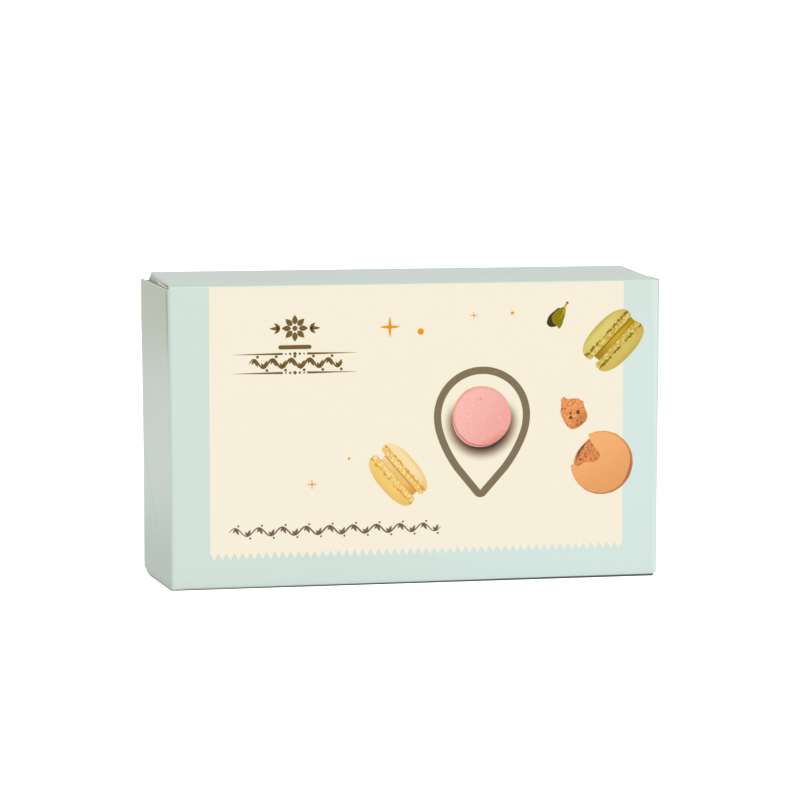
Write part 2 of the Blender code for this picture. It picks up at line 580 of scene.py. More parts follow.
def close_corner(side, top, count, rise=0.0):
    """At an end panel's hinge the long fold runs on round the corner of the board."""
    hinge, edge_x = hinge_at(side)
    height = top_at(side) if top else FOLD
    found = TOP - FOLD if top else FOLD
    if side > 0:
        found += RIGHT_END_TOP.x if top else RIGHT_END_FOOT
    choose("VERT", lambda vert: at(vert.co.z, found) and side * (vert.co.x - edge_x) > NEAR
           and vert.co.y < FRONT + CORNER_SHARE * hinge)
    places = [vert.co.copy() for vert in edit_mesh().verts if vert.select]
    corners = sorted(places, key=lambda co: side * co.x)[:count]
    for i, corner in enumerate(corners):
        level = height + (i + 1) * rise
        nudge(lambda co: (co - corner).length < NEAR, z=level - corner.z)
        corner.z = level
    before = Vector((edge_x, FRONT, height))
    for corner in corners:
        start_x, start_z = before.x, before.z
        choose_edge(lambda co: at(co.x, start_x) and co.y < FRONT + hinge + NEAR
                    and (co.z > start_z - NEAR if top else co.z < start_z + NEAR))
        run_on(*(corner - before))
        before = corner


def shape_shut_end(first):
    """The shut end panel stands a little off both long folds."""
    for z, near, far in ((TOP - FOLD, RIGHT_END_TOP.x, RIGHT_END_TOP.y),
                         (FOLD, RIGHT_END_FOOT, RIGHT_END_FOOT)):
        nudge(lambda co: at(co.z, z) and co.x > RIGHT - SHUT_HINGE and co.y > BACK - 2 * FOLD,
              z=far, first=first)
        nudge(lambda co: at(co.z, z) and co.y < BACK - 2 * FOLD, z=near, first=first)


def raise_back():
    """The top panel climbs a little towards the back, more at the left."""
    for x, rise in ((LEFT, BACK_RISE_LEFT), (RIGHT, BACK_RISE_RIGHT)):
        nudge(lambda co: co.z > TOP / 2 and co.y > BACK - FOLD - NEAR
              and at(co.x, x, LENGTH / 2), z=rise)


def widen_back():
    """The back panel reaches nearly to the ends, past the folds of the dust flaps."""
    for edge_x, step in ((LEFT + HINGE, BACK_GAP_LEFT - HINGE),
                         (RIGHT - SHUT_HINGE, SHUT_HINGE - BACK_GAP_RIGHT)):
        nudge(lambda co: co.y > BACK - BOARD - 0.4 * MM and at(co.x, edge_x), x=step)


def flare_right_fold(first):
    """The upright fold at the right leans out towards the top."""
    for z in (LOW_BEND, HIGH_BEND):
        cut_across((0, 0, z), (0, 0, 1),
                   lambda face: sum(vert.index >= first for vert in face.verts) > 1)
    for z, share in RIGHT_BENDS:
        nudge(lambda co: at(co.z, z) and co.y < BACK - FOLD and co.x > RIGHT - SHUT_HINGE + NEAR,
              x=share * FLARE, first=first)


def spread_flap():
    """The back end of the upper left dust flap stands out past the back panel's end."""
    nudge(lambda co: LEFT - 1.5 * MM < co.x < LEFT + HINGE + NEAR and co.z > TOP / 2
          and BACK - FOLD - NEAR < co.y < BACK - FOLD + 0.35 * MM, x=-FLAP_SPREAD)


def gap_tab():
    """A narrow lip of bare board, upright on the upper left dust flap, near the hinge."""
    front, back, foot, top = TAB
    place = (LEFT + TAB_PLACE, FRONT + (front + back) / 2, (foot + top) / 2)
    tab = sheet(place, (top - foot, back - front), (0, -QUARTER, 0))
    open_up(tab)
    nudge(lambda co: co.z < (foot + top) / 2, x=TAB_LEAN)
    close_up()
    return tab


def folded_board():
    board = front_panel()
    edge = bare_board("cut_edge", (0.12,), (232, 226, 204), (250, 246, 230), 0.35, 0.4)
    inside = bare_board("inner_board", (0.25, 4.0, 0.65), (214, 213, 205), (228, 227, 220),
                        0.7, 0.25)
    dress(board, mint_board(), inside, edge)
    open_up(board)
    wrap_top_and_back()
    for side in (-1, 1):
        dust_flap(side, top=True)
    raise_back()
    widen_back()
    nudge(lambda co: co.z > TOP / 2 and co.x < 0, z=LEFT_LIFT)
    wrap_bottom()
    for side in (-1, 1):
        dust_flap(side, top=False)
    first, _, _ = end_panel(1, 0.0)
    flare_right_fold(first)
    shape_shut_end(first)
    shape_ajar_panel(*end_panel(-1, SWING))
    close_corner(-1, True, 3, CORNER_DROP)
    close_corner(-1, False, 5)
    close_corner(1, True, 4)
    close_corner(1, False, 2, CORNER_RISE)
    spread_flap()
    choose_all()
    bpy.ops.mesh.remove_doubles(threshold=0.01 * MM)
    turn_outwards()
    if choose("FACE", lambda face: at(middle(face).y, FRONT) and face.normal.y > 0):
        choose_all()
        bpy.ops.mesh.flip_normals()
    close_up()
    tab = gap_tab()
    dress(tab, edge)
    join_up([board, tab])
    apply_modifier(board, "SOLIDIFY", thickness=BOARD, offset=-1, use_even_offset=True,
                   material_offset=INSIDE_SLOT, material_offset_rim=EDGE_SLOT)
    take_up(board)
    bpy.ops.object.shade_smooth_by_angle(angle=SMOOTH_ANGLE)
    apply_modifier(board, "WEIGHTED_NORMAL", keep_sharp=True)
    board.name = "folded_board"
    return board


def on_front(x, z):
    """A place just under the front panel's printed face."""
    return LEFT + x * MM, FRONT + SUNK, z * MM


def thicken(ink, layer):
    """Give a flat outline its thickness, up to its own layer of ink."""
    open_up(ink)
    choose_all()
    run_on(y=-(SUNK + layer * INK))
    turn_outwards()
    close_up()


def patch(outline, layer, centre=(0.0, 0.0), degrees=0.0):
    """A closed outline, turned and set at its centre, printed on the front panel."""
    bpy.ops.object.select_all(action="DESELECT")
    bpy.ops.mesh.primitive_circle_add(vertices=len(outline), radius=MM, fill_type="NGON",
                                      rotation=(QUARTER, 0, 0))
    ink = set_place()
    for vert, point in zip(ink.data.vertices, turned(outline, centre, degrees)):
        vert.co = on_front(*point)
    thicken(ink, layer)
    return ink


def band(outer, inner, layer):
    """A ring of ink between two outlines with the same number of points."""
    count = len(outer)
    bpy.ops.object.select_all(action="DESELECT")
    bpy.ops.mesh.primitive_circle_add(vertices=count, radius=2 * MM, fill_type="NOTHING")
    ink = bpy.context.object
    open_up(ink)
    bpy.ops.mesh.select_mode(type="VERT")
    choose_all()
    run_on()
    bpy.ops.transform.resize(value=(0.5, 0.5, 0.5))
    close_up()
    for vert in ink.data.vertices:
        turn = round(math.atan2(vert.co.y, vert.co.x) / math.tau * count) % count
        edge = outer if vert.co.length > 1.5 * MM else inner
        vert.co = on_front(*edge[turn])
    open_up(ink)
    choose_all()
    bpy.ops.mesh.remove_doubles(threshold=0.001 * MM)
    close_up()
    thicken(ink, layer)
    return ink


def around(centre, radius, angle):
    """The place at this distance from a centre, in this direction."""
    return centre[0] + radius * math.cos(angle), centre[1] + radius * math.sin(angle)


def spaced(start, end, steps):
    """Numbers from start to end, evenly spaced."""
    return [start + (end - start) * i / steps for i in range(steps + 1)]


def turned(points, centre, degrees=0.0):
    """The points turned round the origin and then moved to a centre."""
    across, up = math.cos(math.radians(degrees)), math.sin(math.radians(degrees))
    return [(centre[0] + u * across - v * up, centre[1] + u * up + v * across)
            for u, v in points]


def softened(corners, steps=6, closed=True):
    """A smooth line through a few chosen points."""
    points = []
    count = len(corners)
    for i in range(count if closed else count - 1):
        nearby = []
        for k in (i - 1, i, i + 1, i + 2):
            k = k % count if closed else min(max(k, 0), count - 1)
            nearby.append(Vector(corners[k]))
        before, start, end, after = nearby
        for j in range(steps):
            share = j / steps
            bend = (2 * before - 5 * start + 4 * end - after) * share ** 2
            twist = (3 * start - before - 3 * end + after) * share ** 3
            points.append(tuple((2 * start + (end - before) * share + bend + twist) / 2))
    return points if closed else points + [tuple(corners[-1])]


def stroke(path, width_at):
    """A closed outline round a line, as wide at each share of its length as the rule says."""
    above, below = [], []
    last = len(path) - 1
    for i, point in enumerate(path):
        before = Vector(path[max(i - 1, 0)])
        after = Vector(path[min(i + 1, last)])
        along = (after - before).normalized()
        side = Vector((-along.y, along.x)) * width_at(i / last) / 2
        above.append(tuple(Vector(point) + side))
        below.append(tuple(Vector(point) - side))
    return above + below[::-1]


def ring(radius, count):
    return [around((0.0, 0.0), radius, math.tau * i / count) for i in range(count)]


def arc_between(centre, radius, start, end, steps=60):
    """From the direction of one point round to that of another, clockwise."""
    first = math.atan2(start[1] - centre[1], start[0] - centre[0])
    last = math.atan2(end[1] - centre[1], end[0] - centre[0])
    if last > first:
        last -= math.tau
    return [around(centre, radius, angle) for angle in spaced(first, last, steps)]


def uneven(amount, *place):
    return amount * noise.noise(Vector(place))


def wavy(points, amount, size, seed):
    """The same outline with small uneven bumps, as crumb and crust have."""
    moved = []
    for x, z in points:
        push = noise.noise_vector(Vector((x / size, z / size, seed)))
        moved.append((x + amount * push.x, z + amount * push.y))
    return moved


def panel_top(x):
    """How high the front panel is flat, this far along the carton, in millimetres."""
    return (TOP - FOLD + LEFT_LIFT * (1 - x * MM / LENGTH)) / MM


def cream_field():
    """The cream panel: straight sides, a row of teeth along its foot, and at the top it
    runs on a little way over the fold."""
    half = (CREAM_RIGHT - CREAM_LEFT) / TEETH / 2
    teeth = [(CREAM_LEFT + i * half, CREAM_FOOT - TOOTH * (i % 2)) for i in range(2 * TEETH)]
    left, right = ((x, panel_top(x)) for x in (CREAM_LEFT, CREAM_RIGHT))
    field = patch([left, *teeth, (CREAM_RIGHT, CREAM_FOOT), right], 1)
    open_up(field)
    choose("FACE", lambda face: all(vert.co.z > TOP - FOLD - NEAR for vert in face.verts))
    along = Vector((LENGTH, 0, -LEFT_LIFT)).normalized()
    fold((LEFT, FRONT + FOLD, panel_top(0) * MM), along, -CREAM_WRAP, steps=3)
    close_up()
    return field


def star_outline(reach, waist, count=12):
    """A four-pointed star with hollow sides."""
    points = []
    for i in range(4 * count):
        share = i % count / count
        hollow = abs(share - 0.5) * 2
        radius = waist + (reach - waist) * hollow ** 3.2
        points.append(around((0.0, 0.0), radius, QUARTER * (i // count + share)))
    return points


def leaf_outline(length, width, steps=8):
    """A pointed leaf that grows from the origin."""
    upper = [(length * share, width / 2 * math.sin(math.pi * share ** 0.8))
             for share in spaced(0.0, 1.0, steps)]
    return upper + [(u, -v) for u, v in upper[-2:0:-1]]


def drop_outline(edge):
    """A drop on its point, drawn this far outside its inner line: a half circle, a short
    bend at each side, two long flat bends, and straight lines to the point."""
    first, last = DROP_TURNS
    shoulder = (DROP_RADIUS - DROP_BEND, 0.0)
    side = around(shoulder, DROP_BEND - DROP_SIDE, -first)
    end = around(side, DROP_SIDE, -last)
    foot = (0.0, end[1] - end[0] / math.tan(last))
    right = []
    for centre, radius, start, stop, steps in (
            ((0.0, 0.0), DROP_RADIUS, -QUARTER, 0.0, 16), (shoulder, DROP_BEND, 0.0, first, 4),
            (side, DROP_SIDE, first, last, 6), (foot, 0.0, last, QUARTER, 6)):
        right += [around(centre, radius + edge, -angle)
                  for angle in spaced(start, stop, steps)[:-1]]
    left = [(-x, z) for x, z in right[:0:-1]]
    return turned(right + [(0.0, foot[1] - edge)] + left, DROP, DROP_LEAN)


def shell_side(half, crown, lean, side):
    """One macaron shell seen from the side: ruffled foot, then the dome."""
    rise = CREVICE - SHELL_FOOT
    seed = 5.0 + side

    def flank(way, layer):
        points = []
        for i in range(1, 7):
            v = SHELL_FOOT + rise * i / 7
            bulge = half * (0.93 + 0.06 * min(1.0, i / 4) ** 0.5)
            points.append((way * bulge + uneven(0.25, v, seed, layer), v))
        return points

    points = [(u, SHELL_FOOT + uneven(0.12, -u * 0.9, seed, 3))
              for u in spaced(-half * 0.93, half * 0.93, 24)]
    points += flank(1, 7)
    for angle in spaced(0.0, math.pi, 40):
        across = math.cos(angle)
        u = half * 0.99 * math.copysign(abs(across) ** 0.86, across)
        share = math.sin(angle) ** 0.92
        points.append((u + lean * share, CREVICE + (crown - CREVICE) * share))
    points += flank(-1, 9)[::-1]
    return [(u, side * v) for u, v in points]


def filling_side(start, end):
    """The filling seen from the side, with uneven ends."""
    outline = []
    for near, far, edges, seed in ((start, end, FILLING_EDGES, 1),
                                   (end, start, FILLING_EDGES[::-1], 4)):
        outline += [(u, edges[0]) for u in spaced(near, far, 12)]
        outline += [(far + uneven(0.3, v, seed, 1), v) for v in spaced(*edges, 6)[1:-1]]
    return outline


# Printed motifs: centres in millimetres from the carton's left edge and foot
PINK = (127.1, 67.25)
SHADOW = (126.9, 65.1)
SHADOW_REACH = (10.2, 16.6)             # fully dark, and gone, this far from its middle
YELLOW = ((92.4, 44.6), -49.3)          # the centre, and its turn in degrees
GREEN = ((181.55, 97.2), 45.9)
ORANGE = (177.05, 47.3)
CRUMB = (165.1, 68.0)
LEAF = (158.2, 107.5)
DROP = (127.05, 67.7)
DROP_LEAN = -1.3                        # degrees
DROP_RADIUS = 16.9                      # of the inner line, and of its bends below
DROP_BEND = 21.0
DROP_SIDE = 48.0
DROP_TURNS = (math.radians(19), math.radians(41))
DROP_STROKE = 3.0
STARS = (((89.1, 104.4), 4.4, 1.0), ((123.6, 108.4), 1.7, 0.35), ((57.15, 41.6), 2.3, 0.4))
SPECKS = (((101.7, 102.3), 1.3), ((139.5, 109.05), 0.7), ((72.3, 51.6), 0.55))

# The pink macaron's edge and its upper shell's, every 30 degrees from the right
PINK_RIM = (12.05, 11.95, 12.2, 12.4, 12.65, 12.4, 12.25, 12.6, 12.7, 12.35, 11.95, 11.9)
PINK_FACE = (12.0, 11.9, 12.1, 12.2, 12.1, 11.85, 11.65, 11.6, 11.6, 11.6, 11.65, 11.8)
PINK_DOTS = ((-0.7, 7.35, 0.6), (-9.4, 0.4, 0.3), (-6.0, 1.6, 0.3), (-1.9, 4.7, 0.3))

# A macaron seen from the side, from its middle
FILLING_EDGES = (-1.75, 1.45)
SHELL_FOOT = 1.3
CREVICE = 3.9

# The bitten macaron, from its middle
RIM_RADIUS = 12.95
FACE_MIDDLE = (-0.55, 0.1)
FACE_RADIUS = 12.5
BITE_TOP = (-5.7, 11.7)
BITE_FOOT = (-12.8, -0.8)
BITE_EDGE = ((-5.1, 10.1), (-7.3, 8.2), (-9.4, 5.9), (-10.6, 4.1), (-11.7, 1.2), (-11.6, -0.2))
BITE_INSIDE = ((-5.1, 10.1), (-3.7, 7.2), (-2.2, 5.4), (-1.0, 3.3), (-1.6, 1.6), (-3.7, 0.3),
               (-6.4, 0.5), (-8.5, -0.5), (-10.4, -1.3), (-11.8, -0.4))
BITE_HOLLOW = ((-6.4, 8.4), (-8.4, 6.2), (-9.8, 4.0), (-10.6, 1.6))
FACE_SHADE = ((11.95, 1.5), (11.75, -1.6), (11.2, -3.9), (10.1, -6.4), (8.4, -8.8))

# The crumb and its holes, and the leaf, each from its middle
CRUMB_CORNERS = ((-5.1, 5.8), (-3.8, 6.5), (-2.6, 5.7), (1.8, 5.8), (3.0, 4.8), (4.0, 4.6),
                 (4.4, 2.6), (5.7, -0.9), (5.5, -2.6), (4.5, -4.2), (2.5, -5.8), (0.4, -6.6),
                 (-1.0, -6.7), (-2.8, -5.3), (-4.3, -2.8), (-5.5, 0.0), (-5.2, 3.0))
CRUMB_HOLES = ((-1.1, -2.0, 0.95), (1.8, 0.1, 1.15), (-1.3, -0.3, 0.7), (3.3, -4.2, 0.5),
               (1.6, -5.0, 0.45))
DARK_LOBE = ((1.0, 3.2), (-1.6, 1.8), (-3.5, 0.1), (-4.3, -1.8), (-4.3, -3.2), (-3.2, -4.3),
             (-1.6, -4.4), (-0.2, -3.9), (1.4, -2.0))
OLIVE_LOBE = ((2.4, 3.6), (0.2, 2.6), (-2.0, 0.6), (-2.4, -0.9), (-1.7, -2.9), (-0.3, -4.0),
              (0.5, -5.0), (1.0, -5.0), (1.9, -3.6), (2.7, -1.1), (3.3, 1.2), (3.4, 3.1))
LEAF_STEM = ((2.9, 0.4), (3.15, 2.4), (3.1, 3.6), (3.6, 4.6), (4.1, 5.4))
LEAF_VEIN = ((2.8, 3.0), (2.3, 1.4), (1.6, -0.2), (0.3, -1.5))
LEAF_TIP = (LEAF[0] + 4.1, LEAF[1] + 5.3)

# The brown ornament at the upper left, and the long vine at the lower left
ORNAMENT_X = 50.35
ROSETTE_Z = 104.6
BAR = (43.6, 57.1, 97.05, 1.7)          # left, right, height on the panel, thickness
RULE_HEIGHTS = (94.4, 86.77)
RULE_TIP = 25.3                         # from the middle of the ornament
RULE_ROOT = 4.95
RULE_THICK = 0.9
ROW_OF_DOTS = ((-3.7, 0.36), (-1.95, 0.5), (0.0, 0.72), (1.95, 0.5), (3.7, 0.36))
SHORT_VINE = (31.8, 69.6, 90.6)         # left, right, height on the panel
LONG_VINE = (23.4, 109.9, 22.9)


def plain_print(name, colour, spread=0.06, specular=0.1):
    """Flat ink with the slight unevenness of a print on board."""
    finish = Finish(name, specular=specular)
    ends = []
    for share in (1 - spread, 1 + spread):
        ends.append((*(min(1.0, part * share) for part in tone(*colour)[:3]), 1.0))
    finish.base = finish.mix(finish.noise(1.1), *ends)
    return finish.done()


def bare_board(name, grain, dark, light, roughness, specular):
    """Unprinted board: pale fibres that stand up a little."""
    finish = Finish(name, roughness, specular)
    fibre = finish.noise(*grain)
    finish.begin(fibre, dark, light)
    finish.relief(fibre, FIBRE_RELIEF, 0.5)
    return finish.done(film=False)


def mint_board():
    """The mint print, with a worn corner and a faint diagonal line, and with painted highlights and
    painted shade along the carton's folds, in its gaps and at its foot.
    """
    finish = Finish("mint_board", roughness=0.28, specular=0.4)
    rise, fall, between, tint = finish.rise, finish.fall, finish.between, finish.tint
    x, y, z = finish.axes
    finish.begin(rise(x, 20, 190), (208, 224, 215), (213, 230, 225))
    tint(0.10 * finish.noise(0.5, roughness=0.7), (222, 236, 230))
    tint(0.06 * finish.noise(28.0, 2.0, 0.5), (206, 222, 214))
    upper_right = rise(z, 92, 116) * between(x, 60, 190, 196.5, 198)
    tint(0.35 * upper_right, (204, 222, 206))
    # painted highlight: the top panel is made lighter near its front fold
    lid_front_painted_highlight = rise(z, 121.2, 121.9) * fall(y, 4, 26)
    tint(0.42 * lid_front_painted_highlight, (211, 240, 212))
    # painted highlight along the right front fold
    right_fold_painted_highlight = rise(x, 198.4, 198.9) * fall(y, 0.2, 1.0)
    tint(0.6 * right_fold_painted_highlight, (222, 238, 230))
    fold_shade = rise(x, 199.0, 199.4) * rise(z, 55, 112) * between(y, 0.12, 0.35, 1.2, 2.0)
    tint(0.55 * fold_shade, (172, 180, 180))
    # painted shade: a dark line along the underside of the foot fold, where the carton meets the
    # floor
    foot_painted_shade = fall(z - 0.25 * rise(x, 60, 190), 0.58, 0.78)
    foot_painted_shade = foot_painted_shade * (0.4 + 0.45 * rise(x, 15, 60)) * rise(x, 2.0, 8.0)
    tint(foot_painted_shade, (40, 62, 66))
    worn_corner = fall(abs(x - 0.8), 0.3, 1.0) * fall(z, 0.9, 1.8)
    tint(0.7 * worn_corner, (250, 248, 238))
    # painted shade: a dark line on the upper left dust flap, in the gap behind the lip
    gap_painted_shade = fall(abs(x - 0.7), 0.2, 0.5) * between(y, 6, 11, 28, 31)
    tint(0.75 * gap_painted_shade * between(z, 119, 120, 121.6, 121.9), (70, 76, 70))
    ajar = fall(x, -0.4, 0.1)
    # painted shade in the pressed crease beside the ajar panel's hinge
    hinge_crease_painted_shade = fall(abs(y - 4.2), 0.9, 2.4) * between(z, 86, 116, 117.5, 121.5)
    tint(0.38 * ajar * hinge_crease_painted_shade, (90, 98, 94))
    crease = fall(abs(y - 38.6 - 0.83 * (z - 36.6)), 0.35, 0.8) * between(z, 21, 25, 49, 52)
    tint(0.4 * ajar * crease, (156, 168, 162))
    return finish.done()


def cream_print():
    """The cream field, with the soft shadow that is printed under the pink macaron."""
    finish = Finish("cream_print")
    finish.begin(finish.noise(0.7), (245, 237, 214), (248, 240, 220))
    z = finish.axes[2]
    shade = finish.fall(finish.distance(SHADOW), *SHADOW_REACH)
    shade = shade * finish.fall(z, PINK[1] - 1, PINK[1] + 9)
    finish.tint(shade, (70, 58, 54))
    warm = 6 * shade * shade * (1 - shade)
    finish.base = finish.mix(warm, finish.base, (1.0, 0.80, 0.68, 1.0), "MULTIPLY")
    return finish.done()


def pink_rim():
    finish = Finish("pink_rim")
    down = finish.along(PINK, -75)
    finish.begin(finish.rise(down, 2, 12), (244, 172, 160), (222, 144, 132))
    finish.tint(finish.noise(0.8), (240, 164, 152))
    return finish.done(film=False)


def pink_seam():
    """The thin line between the two shells: orange above, brown below."""
    finish = Finish("pink_seam")
    up = finish.rise(finish.axes[2], PINK[1] - 8, PINK[1] + 2)
    finish.begin(up, (186, 126, 106), (234, 150, 116))
    return finish.done(film=False)


def pink_face():
    """The upper shell: paler at the upper left, specked, with four small orange dots."""
    finish = Finish("pink_shell")
    right = finish.rise(finish.along(PINK, -38), -11, 12)
    finish.begin(right, (250, 189, 180), (242, 169, 160))
    finish.tint(0.85 * finish.rise(finish.along(PINK, -62), 8.2, 11.6), (224, 141, 130))
    finish.tint(0.35 * finish.rise(finish.distance(PINK), 10.6, 12.0), (232, 150, 140))
    finish.tint(0.5 * finish.specks(0.8, 0.50, 0.66, roughness=0.8), (236, 156, 146))
    finish.tint(0.5 * finish.specks(0.9, 0.52, 0.68, roughness=0.8, shift=0.5), (254, 204, 196))
    for x, z, radius in PINK_DOTS:
        finish.tint(0.7 * finish.spot((PINK[0] + x, PINK[1] + z), radius), (226, 146, 92))
    return finish.done()


def shell_finish(name, place, tones, ends):
    """A macaron's side: dome, broken dark crevice and ruffled foot, by distance from its middle."""
    light, mid, deep, ruffle, ruffle_dark, crevice = tones
    finish = Finish(name)
    rise = finish.rise
    along, across = finish.along(*place), finish.along(place[0], place[1] + 90)
    height = abs(across)
    edge = CREVICE + (finish.noise(1.3, 2.0) - 0.5) * 1.6
    finish.begin(rise(across, -9.0, 8.0), mid, light)
    finish.tint(0.75 * rise(height, 6.4, 9.4), deep)
    finish.tint(ends[0] * rise(along, 3.0, 13.0), deep)
    finish.tint(ends[1] * rise(-1 * along, 5.0, 13.0), deep)
    finish.tint(0.22 * finish.specks(0.5, 0.45, 0.75, roughness=0.7), deep)
    dome = finish.base
    finish.begin(finish.specks(0.9, 0.42, 0.62, shift=0.3), ruffle_dark, ruffle)
    finish.base = finish.mix(rise(height - edge, -0.12, 0.12), finish.base, dome)
    width = 0.62 * finish.specks(1.9, 0.40, 0.66, detail=2.0, roughness=0.5, shift=0.7)
    finish.tint(0.85 * finish.fall(abs(height - edge) - width, -0.12, 0.25), crevice)
    finish.tint(0.5 * finish.fall(height, 1.3, 1.9), ruffle_dark)
    return finish.done()


def filling_finish(name, place, start, light, end, rim):
    """The filling between two shells, darker along its sides, most where the upper shell
    lies on it."""
    finish = Finish(name)
    along, across = finish.along(*place), finish.along(place[0], place[1] + 90)
    finish.begin(finish.rise(along, -10.0, 1.0), start, light)
    finish.tint(finish.rise(along, 3.0, 11.0), end)
    finish.tint(0.3 * finish.noise(0.8), rim)
    finish.tint(0.6 * finish.rise(abs(across), 0.75, 1.4), rim)
    finish.tint(0.85 * finish.rise(across, 0.6, 1.0), rim)
    return finish.done()


def orange_rim():
    """The lower shell's edge: bright at the top, red-brown at the right and below."""
    finish = Finish("orange_rim")
    up = finish.rise(finish.axes[2], ORANGE[1], ORANGE[1] + 11)
    finish.begin(up, (200, 122, 78), (236, 160, 102))
    finish.tint(0.4 * finish.noise(1.0), (196, 116, 76))
    return finish.done(film=False)


def orange_face():
    """The front shell: lighter at the upper left, specked, darker along its edge."""
    finish = Finish("orange_shell")
    right = finish.rise(finish.along(ORANGE, -60), -12, 12)
    finish.begin(right, (247, 180, 118), (233, 162, 102))
    finish.tint(0.6 * finish.rise(finish.distance(ORANGE), 12.2, 13.1), (222, 140, 86))
    finish.tint(0.45 * finish.specks(0.5, 0.5, 0.75, roughness=0.7), (222, 142, 88))
    finish.tint(0.4 * finish.specks(0.6, 0.52, 0.72, roughness=0.7, shift=0.5), (252, 188, 128))
    return finish.done()


def crumb_finish(name, centre, bright, brown, dark, holes=(), shaded=0.0):
    """Broken crumb: bright and brown patches, small pits, deep holes and a shaded side."""
    finish = Finish(name, roughness=0.6)
    finish.begin(finish.specks(1.1, 0.42, 0.64, detail=4.0, roughness=0.65), bright, brown)
    finish.tint(shaded * finish.rise(finish.along(centre, -40), 1.0, 4.5), brown)
    finish.tint(0.8 * finish.specks(1.6, 0.62, 0.72, detail=2.0, roughness=0.5, shift=0.4), dark)
    ragged = finish.noise(0.9, 2.0, 0.5, shift=0.2) - 0.5
    for x, z, radius in holes:
        finish.tint(0.9 * finish.spot((centre[0] + x, centre[1] + z), radius, ragged), dark)
    return finish.done()


def pink_macaron(add):
    """Seen from above: the lower shell shows as a thin rim at the left and the foot."""
    seam = [min(face + 0.32, rim - 0.05) for face, rim in zip(PINK_FACE, PINK_RIM)]
    for name, radii, layer, finish in (
            ("pink_back_shell", PINK_RIM, 2, pink_rim()), ("pink_seam", seam, 3, pink_seam()),
            ("pink_front_shell", PINK_FACE, 4, pink_face())):
        corners = [around((0.0, 0.0), radius, math.tau * i / len(radii))
                   for i, radius in enumerate(radii)]
        outline = turned(softened(corners), PINK)
        add(name, patch(wavy(outline, 0.05, 1.5, layer), layer), finish)


def side_macaron(add, name, place, half, crown, filling_reach, shell, filling):
    """Seen from the side: two shells and the filling between them."""
    for side, part, lean in ((1, "upper", -0.4), (-1, "lower", 0.3)):
        outline = shell_side(half, crown, lean, side)
        add(f"{name}_{part}_shell", patch(outline, 3, *place), shell)
    add(f"{name}_filling", patch(filling_side(*filling_reach), 2, *place), filling)


def bitten_macaron(add):
    """Two shells seen from above, the front one bitten at the upper left."""
    edge = softened(BITE_EDGE, 5, closed=False)
    inside = softened(BITE_INSIDE, 5, closed=False)
    back = arc_between((0.0, 0.0), RIM_RADIUS, BITE_TOP, BITE_FOOT) + edge[::-1]
    add("orange_back_shell", patch(wavy(back, 0.14, 1.1, 3), 2, ORANGE), orange_rim())
    add("orange_bite", patch(wavy(edge + inside[::-1], 0.2, 1.0, 5), 3, ORANGE),
        crumb_finish("orange_crumb", ORANGE, (230, 152, 92), (184, 106, 70), (104, 60, 50)))
    hollow = stroke(softened(BITE_HOLLOW, 5, closed=False),
                    lambda share: 0.15 + 0.75 * math.sin(math.pi * share))
    add("orange_hollow", patch(wavy(hollow, 0.22, 0.8, 6), 3.5, ORANGE),
        plain_print("hollow_brown", (126, 82, 68), 0.35))
    face = arc_between(FACE_MIDDLE, FACE_RADIUS, BITE_TOP, BITE_FOOT)
    face = wavy(face, 0.08, 2.0, 8) + wavy(inside[::-1], 0.18, 0.9, 7)
    add("orange_front_shell", patch(face, 4, ORANGE), orange_face())
    shade = stroke(softened(FACE_SHADE, closed=False),
                   lambda share: 0.08 + 0.45 * math.sin(math.pi * share) ** 1.5)
    add("orange_shade", patch(shade, 5, ORANGE), plain_print("shade_brown", (160, 98, 74)))


def broken_crumb(add):
    outline = wavy(softened(CRUMB_CORNERS, 4), 0.22, 0.9, 11)
    add("crumb", patch(outline, 2, CRUMB),
        crumb_finish("crumb", CRUMB, (246, 168, 104), (204, 124, 74), (92, 60, 46),
                     CRUMB_HOLES, shaded=0.75))


def printed_leaf(add):
    """A folded leaf: a dark half behind, an olive half in front, a stem and a vein."""
    olive = Finish("leaf_olive")
    olive.begin(olive.noise(1.2), (150, 134, 14), (132, 118, 16))
    stem = plain_print("leaf_stem", (200, 164, 44), 0.15)
    add("leaf_back", patch(softened(DARK_LOBE, 4), 2, LEAF),
        plain_print("leaf_dark", (70, 63, 38), 0.3))
    add("leaf_front", patch(softened(OLIVE_LOBE, 4), 3, LEAF), olive.done())
    path = softened(LEAF_STEM, 4, closed=False)
    add("leaf_stem", patch(stroke(path, lambda share: 0.2 + 0.75 * share ** 0.7), 4, LEAF), stem)
    path = softened(LEAF_VEIN, 4, closed=False)
    add("leaf_vein", patch(stroke(path, lambda share: 0.5 * (1.2 - share)), 4, LEAF), stem)
    add("leaf_tip", patch(ring(0.5, 16), 5, LEAF_TIP),
        plain_print("leaf_tip_brown", (146, 92, 62)))


def vine(reach, waves, height, stem, leaf):
    """A running vine: a wavy stem, and at each turn two leaves inside it and a berry outside."""
    left, right, z = reach
    path = [(left + (right - left) * share, z + height / 2 * math.sin(math.tau * waves * share))
            for share in spaced(0.0, 1.0, 12 * waves)]
    outline = stroke(path, lambda share: stem * (0.3 + 0.7 * math.sin(math.pi * share) ** 0.4))
    pieces = [patch(outline, ON_CREAM)]
    for turn in range(2 * waves):
        way = 1 - 2 * (turn % 2)
        x = left + (right - left) * (turn + 0.5) / (2 * waves)
        root = (x + 0.1 * leaf, z + way * height * 0.46)
        for degrees, size in ((-65.89, leaf), (-120.32, leaf * 0.72)):
            pieces.append(patch(leaf_outline(size, size * 0.42), ON_STEM, root, way * degrees))
        berry = (x + 0.45 * leaf, z + way * height * 0.74)
        pieces.append(patch(ring(stem * 0.62, 14), ON_STEM, berry))
    return pieces


